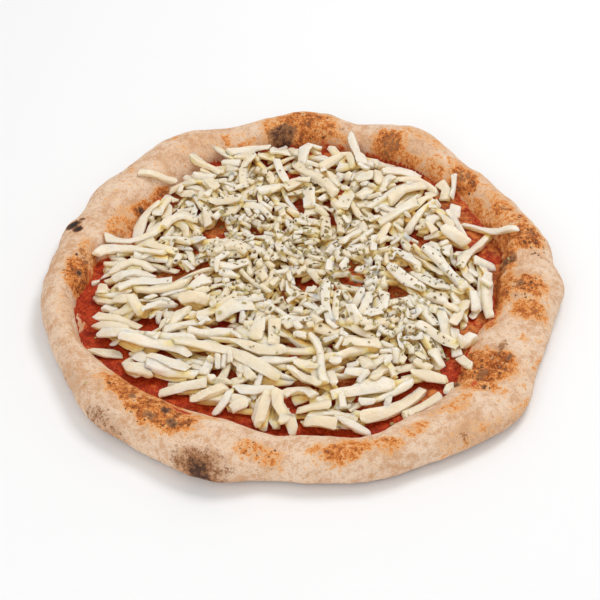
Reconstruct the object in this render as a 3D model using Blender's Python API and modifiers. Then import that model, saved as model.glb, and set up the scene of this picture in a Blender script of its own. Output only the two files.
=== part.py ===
"""Margherita pizza: hand-stretched dough with a puffed rim, tomato sauce and shredded mozzarella.

Frame: +Z up, underside of the dough on z = 0, the middle of the crust's outline on the Z axis.
Every size below is in millimetres and every angle in degrees, counted from +X towards +Y.
"""
import math

import bmesh
import bpy
from mathutils import Vector
from mathutils.bvhtree import BVHTree

MM = 0.001
GAP = 0.3                     # clearance between pieces that touch

# Crust: one piece of dough, thin in the middle and puffed up around the edge.
DOUGH_THICKNESS = 5.0         # dough under the sauce
RIM_RADIUS = 150.0            # widest point of the rim before its bulges
RIM_FOOT = 120.0              # where the rim's inner wall meets the flat dough
RIM_HEIGHT = 20.5             # crown of the rim before its bulges
CROWN_SHARE = 0.47            # place of the crown across the rim's width
WAIST_SHARE = 0.42            # height of the widest point as a share of the rim's height
UNDERCUT = 10.0               # how far the rim rolls in below its widest point
CRUST_STEPS = 144
FLAT_RINGS = (0.4, 0.8)       # rings on the flat dough, as shares of the foot's radius
UNDERSIDE_RINGS = (0.85, 0.4)
INNER_WALL_STEPS = 6
OUTER_WALL_STEPS = 5
UNDER_WALL_STEPS = 4

# Bulges and hollows of the rim's outline: angle, reach, half width.
OUTLINE_SWELLS = (
    (356.5, 3.0, 3), (33, -3.0, 12), (43, 1.5, 4), (61, 7.5, 7), (77, 2.0, 5), (90, 5.0, 7),
    (124, 7.0, 8), (145, 4.0, 5), (164, 2.5, 2.5), (175, 1.0, 6), (191, 4.0, 7), (211, 3.5, 6),
    (226, 9.0, 7), (242, 7.0, 6), (253, 8.5, 6), (270, 1.5, 6), (286, 5.0, 9), (305, 5.0, 8),
    (317, 8.5, 5.5), (338, -3.0, 8),
)
# Where the flat dough reaches further out, or the inner wall leans further in.
FOOT_SWELLS = (
    (357, -7.0, 7), (62, 5.0, 25), (95, 5.5, 12), (117, 6.5, 8), (155, -6.0, 6), (172, 4.5, 4),
    (188, 11.0, 6), (203, 14.5, 8), (217, 6.0, 7), (230, 5.0, 7), (258, 3.2, 10), (272, 4.3, 7),
    (285, 10.0, 5.5), (303, 3.8, 8), (331, -18.0, 11),
)
# Blisters that puff the crown up, and slack places where it stayed low.
CROWN_SWELLS = (
    (353, 2.5, 6), (13, 2.5, 5), (34, -2.5, 7), (62, 4.5, 7), (90, 4.0, 8), (124, 2.5, 8),
    (165, -1.0, 8), (190, 1.5, 9), (230, 3.0, 8), (250, 4.0, 6), (284, 1.5, 9), (306, 1.5, 7),
    (331, -6.0, 8),
)
# Narrow creases across the rim, between neighbouring blisters: angle, depth, half width.
CREASES = (
    (4, 2.5, 2.5), (22, 1.8, 3), (46, 3.5, 3.5), (76, 3.0, 3.5), (110, 2.0, 4), (140, 1.2, 3),
    (158, 1.5, 4), (209, 1.5, 4), (241, 1.5, 3), (263, 2.5, 3), (296, 1.2, 3), (316, 3.5, 3.5),
    (343, 2.0, 3),
)
CREASE_PULL = 0.5             # how far a crease draws the outline in, per unit of its depth
RAMPS = ((36, 0.7, 9), (140, 0.6, 11), (329, 1.0, 10))    # here the inner wall is a long slope

# Tomato sauce: a thin layer on the flat dough.
SAUCE_THICKNESS = 1.2
SAUCE_MARGIN = 1.2            # from the sauce's edge to the rim's foot
SAUCE_STEPS = 72

# Shredded mozzarella: one heap with an uneven outline and a lumpy top.
HEAP_RADIUS = 113.0
HEAP_MARGIN = 2.5             # least distance from the heap's edge to the rim's foot
HEAP_EDGE = 3.6               # height of the heap's edge above the sauce
HEAP_HEIGHT = 10.6            # height of its middle above the sauce
HEAP_STEPS = 72
HEAP_RINGS = 11
HEAP_SWELLS = (
    (22, -8.0, 9), (72, 4.0, 8), (97, 11.0, 14), (118, 8.0, 6), (148, -9.0, 9), (178, 5.0, 7),
    (198, 12.0, 12), (232, 4.0, 8), (262, 6.0, 12), (281, 6.0, 6), (309, 2.0, 6), (328, -19.0, 11),
)
HEAP_LUMPS = ((1.1, 52.0, 0.4), (0.9, 38.0, 2.1), (0.6, 30.0, 4.0))   # height, spacing, turn

# Shreds that lie apart from the heap: route on the surface (x, y), radius of the shred.
STRAYS = {
    "stray_shred_upper_left": (((-103.5, 87), (-92, 87.5), (-80, 89.5)), 2.2),
    "stray_shred_back_hook": (((83.5, 88.5), (88, 86), (89, 79.5), (86.5, 73.5)), 1.9),
    "stray_shred_back_thin": (((94.5, 89.5), (93.5, 82), (91.5, 74)), 1.3),
    "stray_shred_right": (((103, 47), (110.5, 41.5), (118, 34), (128.5, 27.5)), 2.2),
    "stray_shred_lower_right": (((86, -57.5), (91, -53), (96, -49)), 3.4),
}
STRAY_TIP = 0.6               # thickness of a shred's ends as a share of its middle
STRAY_STEP = 2.5              # distance between the points of a shred's route
STRAY_CLEARANCE = 0.25        # added to the gap, because routes run straight between points
LOOK_DOWN_FROM = 100.0        # height from which the surface below a route is felt for
SHARP_ANGLE = 60.0

DOUGH_COLOR = (0.72, 0.50, 0.33)
SAUCE_COLOR = (0.42, 0.045, 0.013)
CHEESE_COLOR = (0.86, 0.79, 0.58)


def clear_scene():
    for old in list(bpy.data.objects):
        bpy.data.objects.remove(old, do_unlink=True)


def make_collection(name):
    collection = bpy.data.collections.new(name)
    bpy.context.scene.collection.children.link(collection)
    return collection


def make_material(name, color, roughness):
    material = bpy.data.materials.new(name)
    material.use_nodes = True
    shader = material.node_tree.nodes["Principled BSDF"]
    shader.inputs["Base Color"].default_value = (*color, 1.0)
    shader.inputs["Roughness"].default_value = roughness
    shader.inputs["Metallic"].default_value = 0.0
    return material


def bell(angle, middle, half_width):
    """1 at the middle angle, falling smoothly to 0 on both sides."""
    off = (angle - middle + 180.0) % 360.0 - 180.0
    return math.exp(-0.5 * (off / half_width) ** 2)


def swell(table, angle):
    return sum(reach * bell(angle, middle, half_width) for middle, reach, half_width in table)


def rim_outer(angle):
    return RIM_RADIUS + swell(OUTLINE_SWELLS, angle) - CREASE_PULL * swell(CREASES, angle)


def rim_foot(angle):
    return RIM_FOOT + swell(FOOT_SWELLS, angle)


def rim_crown(angle):
    return RIM_HEIGHT + swell(CROWN_SWELLS, angle) - swell(CREASES, angle)


def quarter(steps):
    """Angles of a quarter turn, without its start."""
    return [0.5 * math.pi * (step + 1) / steps for step in range(steps)]


def crust_profile():
    """Radius and height from the top's middle, over the rim, to the underside's middle."""
    crown_radius = RIM_FOOT + CROWN_SHARE * (RIM_RADIUS - RIM_FOOT)
    waist = WAIST_SHARE * RIM_HEIGHT
    rise = RIM_HEIGHT - DOUGH_THICKNESS
    profile = [(0.0, DOUGH_THICKNESS)]
    profile += [(share * RIM_FOOT, DOUGH_THICKNESS) for share in FLAT_RINGS]
    profile.append((RIM_FOOT, DOUGH_THICKNESS))
    for turn in quarter(INNER_WALL_STEPS):
        radius = crown_radius - (crown_radius - RIM_FOOT) * math.cos(turn)
        profile.append((radius, DOUGH_THICKNESS + rise * math.sin(turn)))
    for turn in quarter(OUTER_WALL_STEPS):
        radius = crown_radius + (RIM_RADIUS - crown_radius) * math.sin(turn)
        profile.append((radius, waist + (RIM_HEIGHT - waist) * math.cos(turn)))
    for turn in quarter(UNDER_WALL_STEPS):
        profile.append((RIM_RADIUS - UNDERCUT * (1.0 - math.cos(turn)), waist * (1.0 - math.sin(turn))))
    edge = RIM_RADIUS - UNDERCUT
    profile += [(share * edge, 0.0) for share in UNDERSIDE_RINGS]
    profile.append((0.0, 0.0))
    return profile


def turned(name, profile, steps, collection, material):
    """A profile of radius and height points, turned about Z with a Screw modifier and made a mesh."""
    mesh = bpy.data.meshes.new(name)
    points = [(radius * MM, 0.0, height * MM) for radius, height in profile]
    edges = [(place, place + 1) for place in range(len(points) - 1)]
    mesh.from_pydata(points, edges, [])
    piece = bpy.data.objects.new(name, mesh)
    collection.objects.link(piece)
    screw = piece.modifiers.new("turn", "SCREW")
    screw.axis = "Z"
    screw.angle = 2.0 * math.pi
    screw.steps = steps
    screw.render_steps = steps
    screw.use_merge_vertices = True
    screw.merge_threshold = 0.00001
    bpy.context.view_layer.update()
    turned_piece = piece.evaluated_get(bpy.context.evaluated_depsgraph_get())
    finished = bpy.data.meshes.new_from_object(turned_piece)
    finished.name = name
    piece.modifiers.clear()
    piece.data = finished
    bpy.data.meshes.remove(mesh)
    finished.materials.clear()
    finished.materials.append(material)
    return piece


def reshape(piece, place):
    """Moves each point by place(radius, height, angle), which gives its new radius and height."""
    body = bmesh.new()
    body.from_mesh(piece.data)
    bmesh.ops.remove_doubles(body, verts=body.verts, dist=0.00001)
    for point in body.verts:
        radius = math.hypot(point.co.x, point.co.y) / MM
        turn = math.atan2(point.co.y, point.co.x)
        radius, height = place(radius, point.co.z / MM, math.degrees(turn) % 360.0)
        point.co = Vector((radius * math.cos(turn), radius * math.sin(turn), height)) * MM
    bmesh.ops.triangulate(body, faces=body.faces)
    bmesh.ops.recalc_face_normals(body, faces=body.faces)
    body.to_mesh(piece.data)
    body.free()
    piece.data.shade_smooth()
    piece.data.set_sharp_from_angle(angle=math.radians(SHARP_ANGLE))


def crust_place(radius, height, angle):
    foot = rim_foot(angle)
    if radius <= RIM_FOOT:
        return radius * foot / RIM_FOOT, height
    across = (radius - RIM_FOOT) / (RIM_RADIUS - RIM_FOOT)
    new_radius = foot + across * (rim_outer(angle) - foot)
    if height <= DOUGH_THICKNESS:
        return new_radius, height
    rise = rim_crown(angle) - DOUGH_THICKNESS
    up = (height - DOUGH_THICKNESS) / (RIM_HEIGHT - DOUGH_THICKNESS)
    if across < CROWN_SHARE:
        slope = math.sin(0.5 * math.pi * across / CROWN_SHARE) ** 1.4
        lean = swell(RAMPS, angle)
        up += lean * (slope - up)
    return new_radius, DOUGH_THICKNESS + rise * up


def make_crust(collection, material):
    crust = turned("crust", crust_profile(), CRUST_STEPS, collection, material)
    reshape(crust, crust_place)
    return crust


def make_sauce(collection, material):
    low = DOUGH_THICKNESS + GAP
    high = low + SAUCE_THICKNESS
    edge = RIM_FOOT - SAUCE_MARGIN
    bevel = 0.4 * SAUCE_THICKNESS
    profile = [(0.0, high), (0.5 * edge, high), (edge - bevel, high), (edge, high - bevel),
               (edge, low), (0.5 * edge, low), (0.0, low)]

    def place(radius, height, angle):
        return radius * (rim_foot(angle) - SAUCE_MARGIN) / edge, height

    sauce = turned("tomato_sauce", profile, SAUCE_STEPS, collection, material)
    reshape(sauce, place)
    return sauce


def heap_outline(angle):
    return min(HEAP_RADIUS + swell(HEAP_SWELLS, angle), rim_foot(angle) - HEAP_MARGIN)


def heap_lump(x, y):
    """Height of the heap's low waves at a place."""
    total = 0.0
    for height, spacing, turn in HEAP_LUMPS:
        wave = 2.0 * math.pi / spacing
        along = x * math.cos(turn) + y * math.sin(turn)
        across = y * math.cos(turn) - x * math.sin(turn)
        total += height * math.sin(wave * along + turn) * math.cos(wave * across)
    return total


def make_heap(collection, material):
    low = DOUGH_THICKNESS + GAP + SAUCE_THICKNESS + GAP
    profile = []
    for ring in range(HEAP_RINGS):
        share = ring / (HEAP_RINGS - 1)
        dome = HEAP_EDGE + (HEAP_HEIGHT - HEAP_EDGE) * math.sqrt(1.0 - share ** 3)
        profile.append((share * HEAP_RADIUS, low + dome))
    profile += [(HEAP_RADIUS, low), (0.5 * HEAP_RADIUS, low), (0.0, low)]

    def place(radius, height, angle):
        new_radius = radius * heap_outline(angle) / HEAP_RADIUS
        if height > low + 0.5 * HEAP_EDGE:
            turn = math.radians(angle)
            height += heap_lump(new_radius * math.cos(turn), new_radius * math.sin(turn))
        return new_radius, height

    heap = turned("mozzarella_heap", profile, HEAP_STEPS, collection, material)
    reshape(heap, place)
    return heap


def smooth_route(corners, step):
    """Points at even steps on a smooth curve through the corners (Catmull-Rom)."""
    ends = [corners[0] * 2 - corners[1]] + corners + [corners[-1] * 2 - corners[-2]]
    route = [corners[0]]
    for place in range(1, len(ends) - 2):
        before, start, end, after = ends[place - 1:place + 3]
        count = max(1, round((end - start).length / step))
        for part in range(1, count + 1):
            t = part / count
            route.append(0.5 * (2 * start + (end - before) * t
                                + (2 * before - 5 * start + 4 * end - after) * t ** 2
                                + (3 * start - before - 3 * end + after) * t ** 3))
    return route


def rest_height(trees, x, y, radius):
    """Lowest height at which a ball of this radius, in millimetres, clears every surface at x, y."""
    top = Vector((x, y, LOOK_DOWN_FROM)) * MM
    hits = [tree.ray_cast(top, Vector((0, 0, -1)))[0] for tree in trees]
    height = max(hit.z for hit in hits if hit is not None) / MM + radius
    for _ in range(40):
        middle = Vector((x, y, height)) * MM
        nearest = min(tree.find_nearest(middle)[3] for tree in trees) / MM
        if nearest >= radius:
            return height
        height += radius - nearest + 0.01
    return height


def make_stray(name, corners, radius, below, collection, material):
    """A tube that thins towards its ends and lies on the pieces below it."""
    trees = [BVHTree.FromObject(piece, bpy.context.evaluated_depsgraph_get()) for piece in below]
    route = smooth_route([Vector((x, y, 0)) for x, y in corners], STRAY_STEP)
    curve = bpy.data.curves.new(name, "CURVE")
    curve.dimensions = "3D"
    curve.bevel_depth = radius * MM
    curve.bevel_resolution = 2
    curve.use_fill_caps = True
    spline = curve.splines.new("POLY")
    spline.points.add(len(route) - 1)
    for place, (point, spot) in enumerate(zip(spline.points, route)):
        fullness = math.sin(math.pi * place / (len(route) - 1))
        point.radius = STRAY_TIP + (1.0 - STRAY_TIP) * fullness
        clearance = radius * point.radius + GAP + STRAY_CLEARANCE
        height = rest_height(trees, spot.x, spot.y, clearance)
        point.co = (spot.x * MM, spot.y * MM, height * MM, 1.0)
    curve.materials.append(material)
    stray = bpy.data.objects.new(name, curve)
    collection.objects.link(stray)
    bpy.context.view_layer.update()
    return stray


def centre_on_axis(crust, pieces, collection):
    """Hangs every piece on one empty that puts the middle of the crust's outline on the Z axis."""
    xs = [point.co.x for point in crust.data.vertices]
    ys = [point.co.y for point in crust.data.vertices]
    middle = bpy.data.objects.new("pizza_middle", None)
    middle.location = (-0.5 * (min(xs) + max(xs)), -0.5 * (min(ys) + max(ys)), 0.0)
    collection.objects.link(middle)
    for piece in pieces:
        piece.parent = middle


def main():
    clear_scene()
    collection = make_collection("margherita_pizza")
    dough = make_material("baked_dough", DOUGH_COLOR, 0.8)
    tomato = make_material("tomato_sauce", SAUCE_COLOR, 0.35)
    cheese = make_material("mozzarella", CHEESE_COLOR, 0.4)
    crust = make_crust(collection, dough)
    sauce = make_sauce(collection, tomato)
    heap = make_heap(collection, cheese)
    bpy.context.view_layer.update()
    pieces = [crust, sauce, heap]
    for name, (corners, radius) in STRAYS.items():
        pieces.append(make_stray(name, corners, radius, (crust, sauce), collection, cheese))
    centre_on_axis(crust, pieces, collection)


main()
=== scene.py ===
"""Looks of the margherita pizza: baked crust, sauce, shredded mozzarella and dried oregano.

Sizes and places are in millimetres and angles in degrees, counted from +X towards +Y, unless said.
Colours are from 0 to 255. A row of layers says where a layer begins, where it covers, and its colour.
"""
import math
import random

import bmesh
import bpy
import numpy as np
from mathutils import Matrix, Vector, noise
from mathutils.bvhtree import BVHTree


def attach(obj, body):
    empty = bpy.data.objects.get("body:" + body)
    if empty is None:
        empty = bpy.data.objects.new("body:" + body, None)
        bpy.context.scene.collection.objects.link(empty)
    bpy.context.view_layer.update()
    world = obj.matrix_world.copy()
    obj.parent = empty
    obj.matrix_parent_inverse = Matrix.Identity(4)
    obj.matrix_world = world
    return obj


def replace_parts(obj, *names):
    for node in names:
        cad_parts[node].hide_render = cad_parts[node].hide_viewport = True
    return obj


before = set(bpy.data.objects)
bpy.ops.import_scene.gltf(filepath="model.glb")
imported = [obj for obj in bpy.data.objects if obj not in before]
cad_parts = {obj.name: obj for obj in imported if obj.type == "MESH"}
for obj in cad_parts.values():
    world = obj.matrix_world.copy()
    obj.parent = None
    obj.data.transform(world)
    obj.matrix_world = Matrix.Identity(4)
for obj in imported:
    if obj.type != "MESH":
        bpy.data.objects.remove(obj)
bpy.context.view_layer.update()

MM = 0.001
SEED = 7
DOWN = Vector((0.0, 0.0, -1.0))
ABOVE_ALL = 100.0             # height from which rays fall on the pizza
REACH = 142.0                 # half width of the square in which toppings lie

# Camera and light.
CAMERA_ELEVATION = 43.0
CAMERA_DISTANCE = 0.86        # metres
CAMERA_LENS = 89.4            # for a 36 mm wide film
CAMERA_AIM = (-2.6, -19.9, 10.0)
WORLD_STRENGTH = 0.68
# Lights: name, place and width in metres, power in watts.
LIGHTS = (("main", (0.45, 0.45, 1.2), 0.55, 6.8), ("fill", (-0.4, -1.0, 0.7), 1.0, 3.6))
FLOOR_SIZE = 6.0              # metres

# Crust.
CRUST_LEVELS = 2
DOUGH_COLORS = ((206, 158, 118), (234, 209, 184))
TOAST_LAYERS = ((0.25, 0.62, (228, 178, 128)), (0.5, 0.86, (219, 142, 72)),
                (0.8, 1.15, (192, 108, 46)), (1.1, 1.5, (126, 65, 26)))
DUSTING_LAYERS = ((0.9, 1.9, (238, 214, 186)),)
CHAR_LAYERS = ((0.22, 0.6, (154, 104, 66)), (0.55, 0.95, (78, 50, 36)), (0.95, 1.3, (40, 27, 23)))
# Painted shade: grey-brown over the lower part of the crust's outer wall.
LOW_WALL_SHADE_LAYERS = ((0.35, 1.0, (170, 138, 110)),)
STAIN_LAYERS = ((0.35, 0.65, (214, 128, 72)),)
STAIN_COLORS = ((132, 32, 12), (190, 68, 28))
# Dark specks of two sizes: cells a metre, largest speck in its cell, share of the cells with one.
SPECKS = ((300.0, 0.42, 0.9), (620.0, 0.5, 0.75))
SPECK_COLOR = (98, 58, 34)
SPECK_WARP = 0.0022           # metres by which the specks are pulled out of round
CHAR_DEPTH = 0.3              # how far black dough has shrunk
PATCH_FADE = 0.9              # over how much of its half width a place fades out
FACING_UP = (-0.2, 0.2)       # upward part of a normal, from the dough's underside to its top
# Browned places: angle, radius, half width along the rim in degrees, half width across, strength.
# The places at (4, 119) and (358, 113) darken the foot of the right rim's inner wall: partly toast, partly
# painted shade.
TOASTED = (
    (91, 134, 10, 13, 1.05), (65, 131, 5, 8, 1.2), (57, 142, 7, 6, 0.5), (49, 127, 3.5, 5, 0.85),
    (46, 138, 3, 5, 0.6), (41, 131, 6, 9, 1.2), (30, 134, 4, 5, 0.6), (24, 133, 3.5, 7, 1.1),
    (18, 135, 3, 8, 0.95), (10, 133, 5, 11, 1.2), (351.5, 130, 3.6, 12, 1.15),
    (343.5, 132, 3.5, 10, 0.95), (336, 135, 1.5, 3, 0.5), (4, 119, 17, 6, 1.05),
    (320.5, 122, 8.5, 20, 1.1), (327.5, 128, 2.2, 10, 1.35), (315, 130, 5, 9, 0.95),
    (307, 136, 4, 4, 0.55), (301, 136, 3.5, 3, 0.55), (304, 152, 3, 4, 0.4), (293, 142, 3, 4, 0.6),
    (287, 147, 3.2, 4.5, 0.9), (278, 145, 6.5, 6.5, 0.95), (261, 145.5, 5, 5.5, 0.75),
    (246, 132, 5, 3, 0.6), (226, 140, 7, 8, 1.05), (237, 141, 9.5, 9.5, 1.15), (229, 132, 13, 5, 0.9),
    (182, 130, 6, 9, 1.2), (176, 127, 3.5, 6, 0.95), (171, 130, 3, 5, 0.65), (195, 141, 5, 4, 0.3),
    (159, 120, 6.5, 7, 0.75), (152, 134, 4, 3, 0.35), (148, 118, 5, 5, 1.1), (156, 114, 5, 5, 0.9),
    (139, 119.5, 4, 4, 1.0), (140, 141, 1.8, 3, 0.45), (125, 146, 2, 2.5, 0.5), (112, 133, 1.2, 3, 0.95),
    (106, 129, 3.5, 2, 0.6), (32, 120, 8, 7, 0.9), (30, 130, 14, 13, 0.38), (350, 131, 12, 12, 0.3),
    (52, 130, 8, 8, 0.38), (118, 132, 14, 8, 0.28), (14, 133, 9, 13, 0.4), (20, 121, 10, 7, 0.95),
    (341, 112, 5, 5, 1.1), (358, 113, 22, 6, 1.15), (80, 129, 6, 8, 0.6), (60, 124, 8, 5, 0.9),
    (331, 148, 3, 3, 0.5), (318, 157, 4, 4, 0.42), (306, 155, 6, 4, 0.42), (338, 142, 2, 3, 0.45),
    (300, 153, 4, 4, 0.38), (305, 141, 3, 2.5, 0.7), (303, 137, 3, 2.5, 0.75), (295, 140, 2.5, 3, 0.7),
)
# Floury places between them, in the same form.
FLOURY = (
    (332.5, 118, 2.6, 8, 1.0), (358, 130, 1.6, 14, 0.9), (339, 136, 2.5, 8, 0.6), (76, 138, 3, 10, 0.6),
)
# Brown to black places, in the same form: about 0.4 is brown and 1 is black.
# The place at (6, 117.5) is painted shade: a dark line along the foot of the right rim's inner wall.
CHARRED = (
    (96, 129.5, 3.9, 5.4, 0.78), (164.2, 144.5, 1.7, 4.6, 1.3), (166, 140, 1.3, 3, 1.1),
    (162, 141, 1, 2, 0.7), (148, 118, 1.2, 2.2, 0.9), (250, 159, 6, 8, 0.5), (250, 161, 2.6, 5, 0.85),
    (228, 160, 6, 6, 0.4), (214, 155, 5, 6, 0.25), (241, 143, 1.6, 3, 0.75), (236, 145, 1.6, 3, 0.6),
    (230, 141, 1.3, 2, 0.7), (238, 138, 1, 2, 0.9), (4, 121.5, 2.2, 4, 0.62), (65, 130, 3, 6, 0.4),
    (41, 133, 2.5, 4, 0.45), (24, 133, 1.6, 2, 0.5), (323, 136, 0.8, 1.6, 1.0), (328, 133, 1.2, 1.8, 0.8),
    (315, 136, 0.8, 1.4, 0.9), (318, 128, 2, 3, 0.55), (313, 120, 3, 4, 0.6), (182, 131, 0.9, 1.6, 0.9),
    (176, 129, 3, 5, 0.4), (11, 135, 2, 5, 0.4), (303, 153, 1.5, 3, 0.34), (330, 126, 3, 2.5, 0.55),
    (352, 124, 1.5, 4, 0.5), (6, 117.5, 10, 2, 0.45), (143, 149, 3, 4, 0.25), (139, 119, 2, 2, 0.45),
)
# Places with small dark specks, in the same form.
SPECKLED = (
    (237, 142, 9, 9, 1.0), (226, 141, 6, 6, 0.5), (181, 131, 5.5, 9, 1.0), (91, 134, 10, 12, 0.7),
    (66, 135, 6, 9, 0.6), (41, 132, 6, 9, 0.8), (9, 136, 6.5, 10, 1.0), (351, 130, 4.5, 12, 0.95),
    (319, 130, 7, 10, 1.0), (326, 124, 4, 14, 0.7), (261, 145, 5, 6, 0.6), (17, 136, 4, 7, 0.8),
    (345, 132, 5, 9, 0.6), (157, 124, 6, 12, 0.35),
)
# Sauce smeared on the rim's foot, in the same form.
SMEARED = (
    (30, 120.5, 1.6, 2.2, 0.7), (24, 119, 2, 2, 0.6), (315, 122, 2, 3, 0.9), (319, 120, 1.5, 2.5, 0.8),
    (314, 131, 1, 2, 0.7), (342, 112, 4, 3, 0.8), (40, 122, 4, 3, 0.8), (84, 126, 6, 1.8, 0.75),
    (70, 124, 5, 1.8, 0.7), (225, 128, 14, 1.6, 0.7), (241, 133, 3, 2, 0.8), (180, 126, 5, 1.5, 0.6),
)
# Dough that is wrinkled, pulled into folds or blistered, in the same form.
WRINKLED = ((320.5, 124, 9, 17, 1.0),)
WRINKLE_WIDTH = 8.5
FOLDED = ((3, 122, 16, 9, 1.0),)
FOLD_WIDTH = 4.3              # degrees
BLISTERED = ((332.5, 118, 2.8, 8, 1.4),)

# Sauce.
SAUCE_COLORS = ((132, 32, 12), (184, 62, 25))
SAUCE_LAYERS = ((0.6, 0.9, (214, 112, 54)),)
BARE_AND_BOUNCE_COLORS = ((150, 74, 32), (206, 122, 62))
SAUCE_GRID = 200              # faces along each side of the grid that it is cut from
SAUCE_TOP = 6.5
SAUCE_FLOOR = 4.6             # its flat underside, within the dough
SAUCE_MIDDLE = 80.0           # the edge of its solid lies further out than this
SAUCE_SPREAD = 7.0            # how far it runs past its solid, up the rim's foot
SAUCE_CLIMB = 8.6             # height at which it ends there
SAUCE_WAVER = 1.2             # how far that height goes up and down
SAUCE_WAVES = (11.0, 26)      # size and seed of these waves
SAUCE_FILM = 0.35             # its thickness on the foot
FOOT_FROM = 95.0              # the rim's foot lies further out than this
# Where it ends lower: angle, by how much, half width.
SAUCE_DIPS = ((133, 3.4, 24), (75, 1.6, 10), (185, 0.6, 12), (22, 2.2, 22))
# Where it is scraped thin along the rim: angle, half width, strength.
SCRAPED_SIDES = ((20, 34, 1.3), (333, 14, 1.2), (85, 12, 0.8), (145, 24, 1.15))
# Where the dough shows through it: x, y, half width, half depth.
BARE_DOUGH = (
    (-78, 3, 10, 6), (114, 0, 7, 8), (91, -41, 8, 7), (-45, 74, 8, 6), (22, -74, 5, 4), (-3, -85, 8, 6),
    (-55, 47, 7, 6), (66, -92, 8, 5), (40, -100, 8, 4), (-59, 8, 8, 5), (58, 6, 6, 5), (-80, -66, 9, 5),
    (10, 30, 8, 6), (86, -58, 6, 5), (102, -32, 4, 6),
)

# Cheese: the pile is laid shred by shred on a map of the heights below it.
CHEESE_COLORS = ((236, 217, 187), (241, 229, 211))
# Painted shade: the lower the cheese lies in the pile, the yellower it is painted.
DEPTH_SHADE_LAYERS = ((0.15, 0.75, (248, 222, 160)), (0.7, 1.1, (244, 196, 112)))
DEEP = 3.4                    # how far down the pile the painted shade is at its yellowest
MAP_CELL = 0.8
SINK = 0.35                   # how far a shred presses into what it rests on
TREAD = 0.36                  # how far to each side a shred rests, as a share of its width
ROLL_SHARE = 0.55             # how much of the slope across it a shred rolls with
MOST_ROLL = 0.4               # radians
STEEPNESS = 0.45              # steepest rise of a shred along its length
SHRED_STATIONS = 15           # points along a shred's route
SHRED_THICKNESS = 3.1
EDGE_DEPTH = 4.0
MIDDLE_DEPTH = 7.6
# Where shreds lie further out than the heap's solid: angle, reach, half width.
EDGE_SWELLS = ((150, 9.0, 12), (128, 5.0, 10), (60, 3.0, 14))

# Shreds before they are bent, in widths of the bar that each is cut from.
# Bars: the longest shred for each, how many segments it has, its length.
BARS = ((13.0, 3, 2.0), (23.0, 4, 3.4), (38.0, 6, 5.2), (math.inf, 8, 8.0))
KINDS = 9                     # different shreds of each length and kind of ends
SHAVINGS = 3                  # slices taken off the sides
SHAVED_AT = (0.34, 0.6)
SHAVING_SLANT = 0.09
CUT_SLANT = 0.75
POINT_SLANT = (0.22, 0.6)
BLUNTNESS = (0.06, 0.2)
BROKEN_CORNERS = 0.5          # share of the cut ends with a corner off
SMALLEST_EDGE = 0.07
EDGE_BEVEL = 0.09
END_RING = 0.25               # from the ends to the first ring of edges
SHARP = 28.0                  # degrees from which an edge is bevelled
SMOOTH_UP_TO = 46.0           # degrees between faces that are shaded as one
WIDTH_WAVE = 0.14
TWIST = 0.3                   # radians
ROUGHNESS = 0.75              # unevenness of a shred's faces, in millimetres
ROUGH_SCALE = 0.3             # its lumps a millimetre

# Loose shreds, laid first and at random.
LOOSE_SHREDS = 780
LOOSE_TRIES = 10
LOOSE_WIDTH = (2.8, 5.8)
SHORTEST_LOOSE = 6.0
LENGTH_SPREAD = 5.5
BOW_SPREAD = 0.35
ENDS_SHARES = (0.55, 0.33, 0.12)    # both ends cut, one pointed, both pointed
LEAST_LACK = 0.3              # no shred is laid where the pile lacks less than this
LIE_REACH = 12.0
# Which way they lie: x, y, direction, spread in degrees, mean length.
LIE = (
    (-100, -50, -8, 18, 25), (-105, 8, 25, 45, 20), (-65, -85, -12, 14, 27), (-35, -75, -25, 18, 28),
    (-15, -108, 80, 20, 20), (25, -110, 5, 18, 22), (50, -98, 27, 12, 26), (80, -65, -65, 22, 22),
    (103, -25, 88, 12, 24), (75, 5, -48, 20, 24), (62, 60, 50, 14, 27), (95, 35, -60, 25, 20),
    (45, 95, 10, 35, 18), (5, 85, -60, 40, 22), (-30, 95, 75, 25, 24), (-62, 85, -30, 25, 20),
    (-85, 50, 40, 35, 22), (0, 0, 20, 90, 15), (-40, 20, 10, 80, 15), (30, -30, 90, 60, 17),
    (35, 30, 60, 60, 16), (-45, -35, 25, 40, 20), (10, 45, 80, 60, 16), (-60, 0, 10, 60, 17),
)
# Places that they leave open: x, y, half width, half depth.
OPEN_PLACES = (
    (-83, -1, 11, 5), (-8, -91, 10, 5), (-3, -104, 6, 4), (58, 6, 4, 4), (-59, 9, 5, 5), (27, -6, 6, 6),
    (-53, 38, 8, 5), (-30, 38, 3, 8), (-8, 93, 7, 6), (65, -91, 8, 4), (38, -102, 9, 3), (22, -88, 5, 4),
    (-84, -66, 6, 4), (-93, -43, 8, 4), (-100, 42, 3, 7), (90, 63, 5, 5), (62, 40, 3, 7), (71, 30, 5, 7),
    (22, 94, 6, 5), (25, 82, 5, 4), (103, 32, 7, 5), (94, 21, 6, 2), (-2, 66, 3, 8), (16, 52, 3, 5),
    (-43, -80, 3, 5), (-10, -58, 4, 4), (-52, -54, 6, 3), (-48, -44, 6, 4), (52, -15, 3, 6),
    (30, 8, 5, 4), (-97, -97, 12, 8), (60, -116, 20, 5), (-120, -50, 4, 30), (113, -10, 4, 20),
    (0, -8, 5, 5),
)
OPEN_MARGIN = 1.2
OPEN_PENALTY = 14.0
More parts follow.
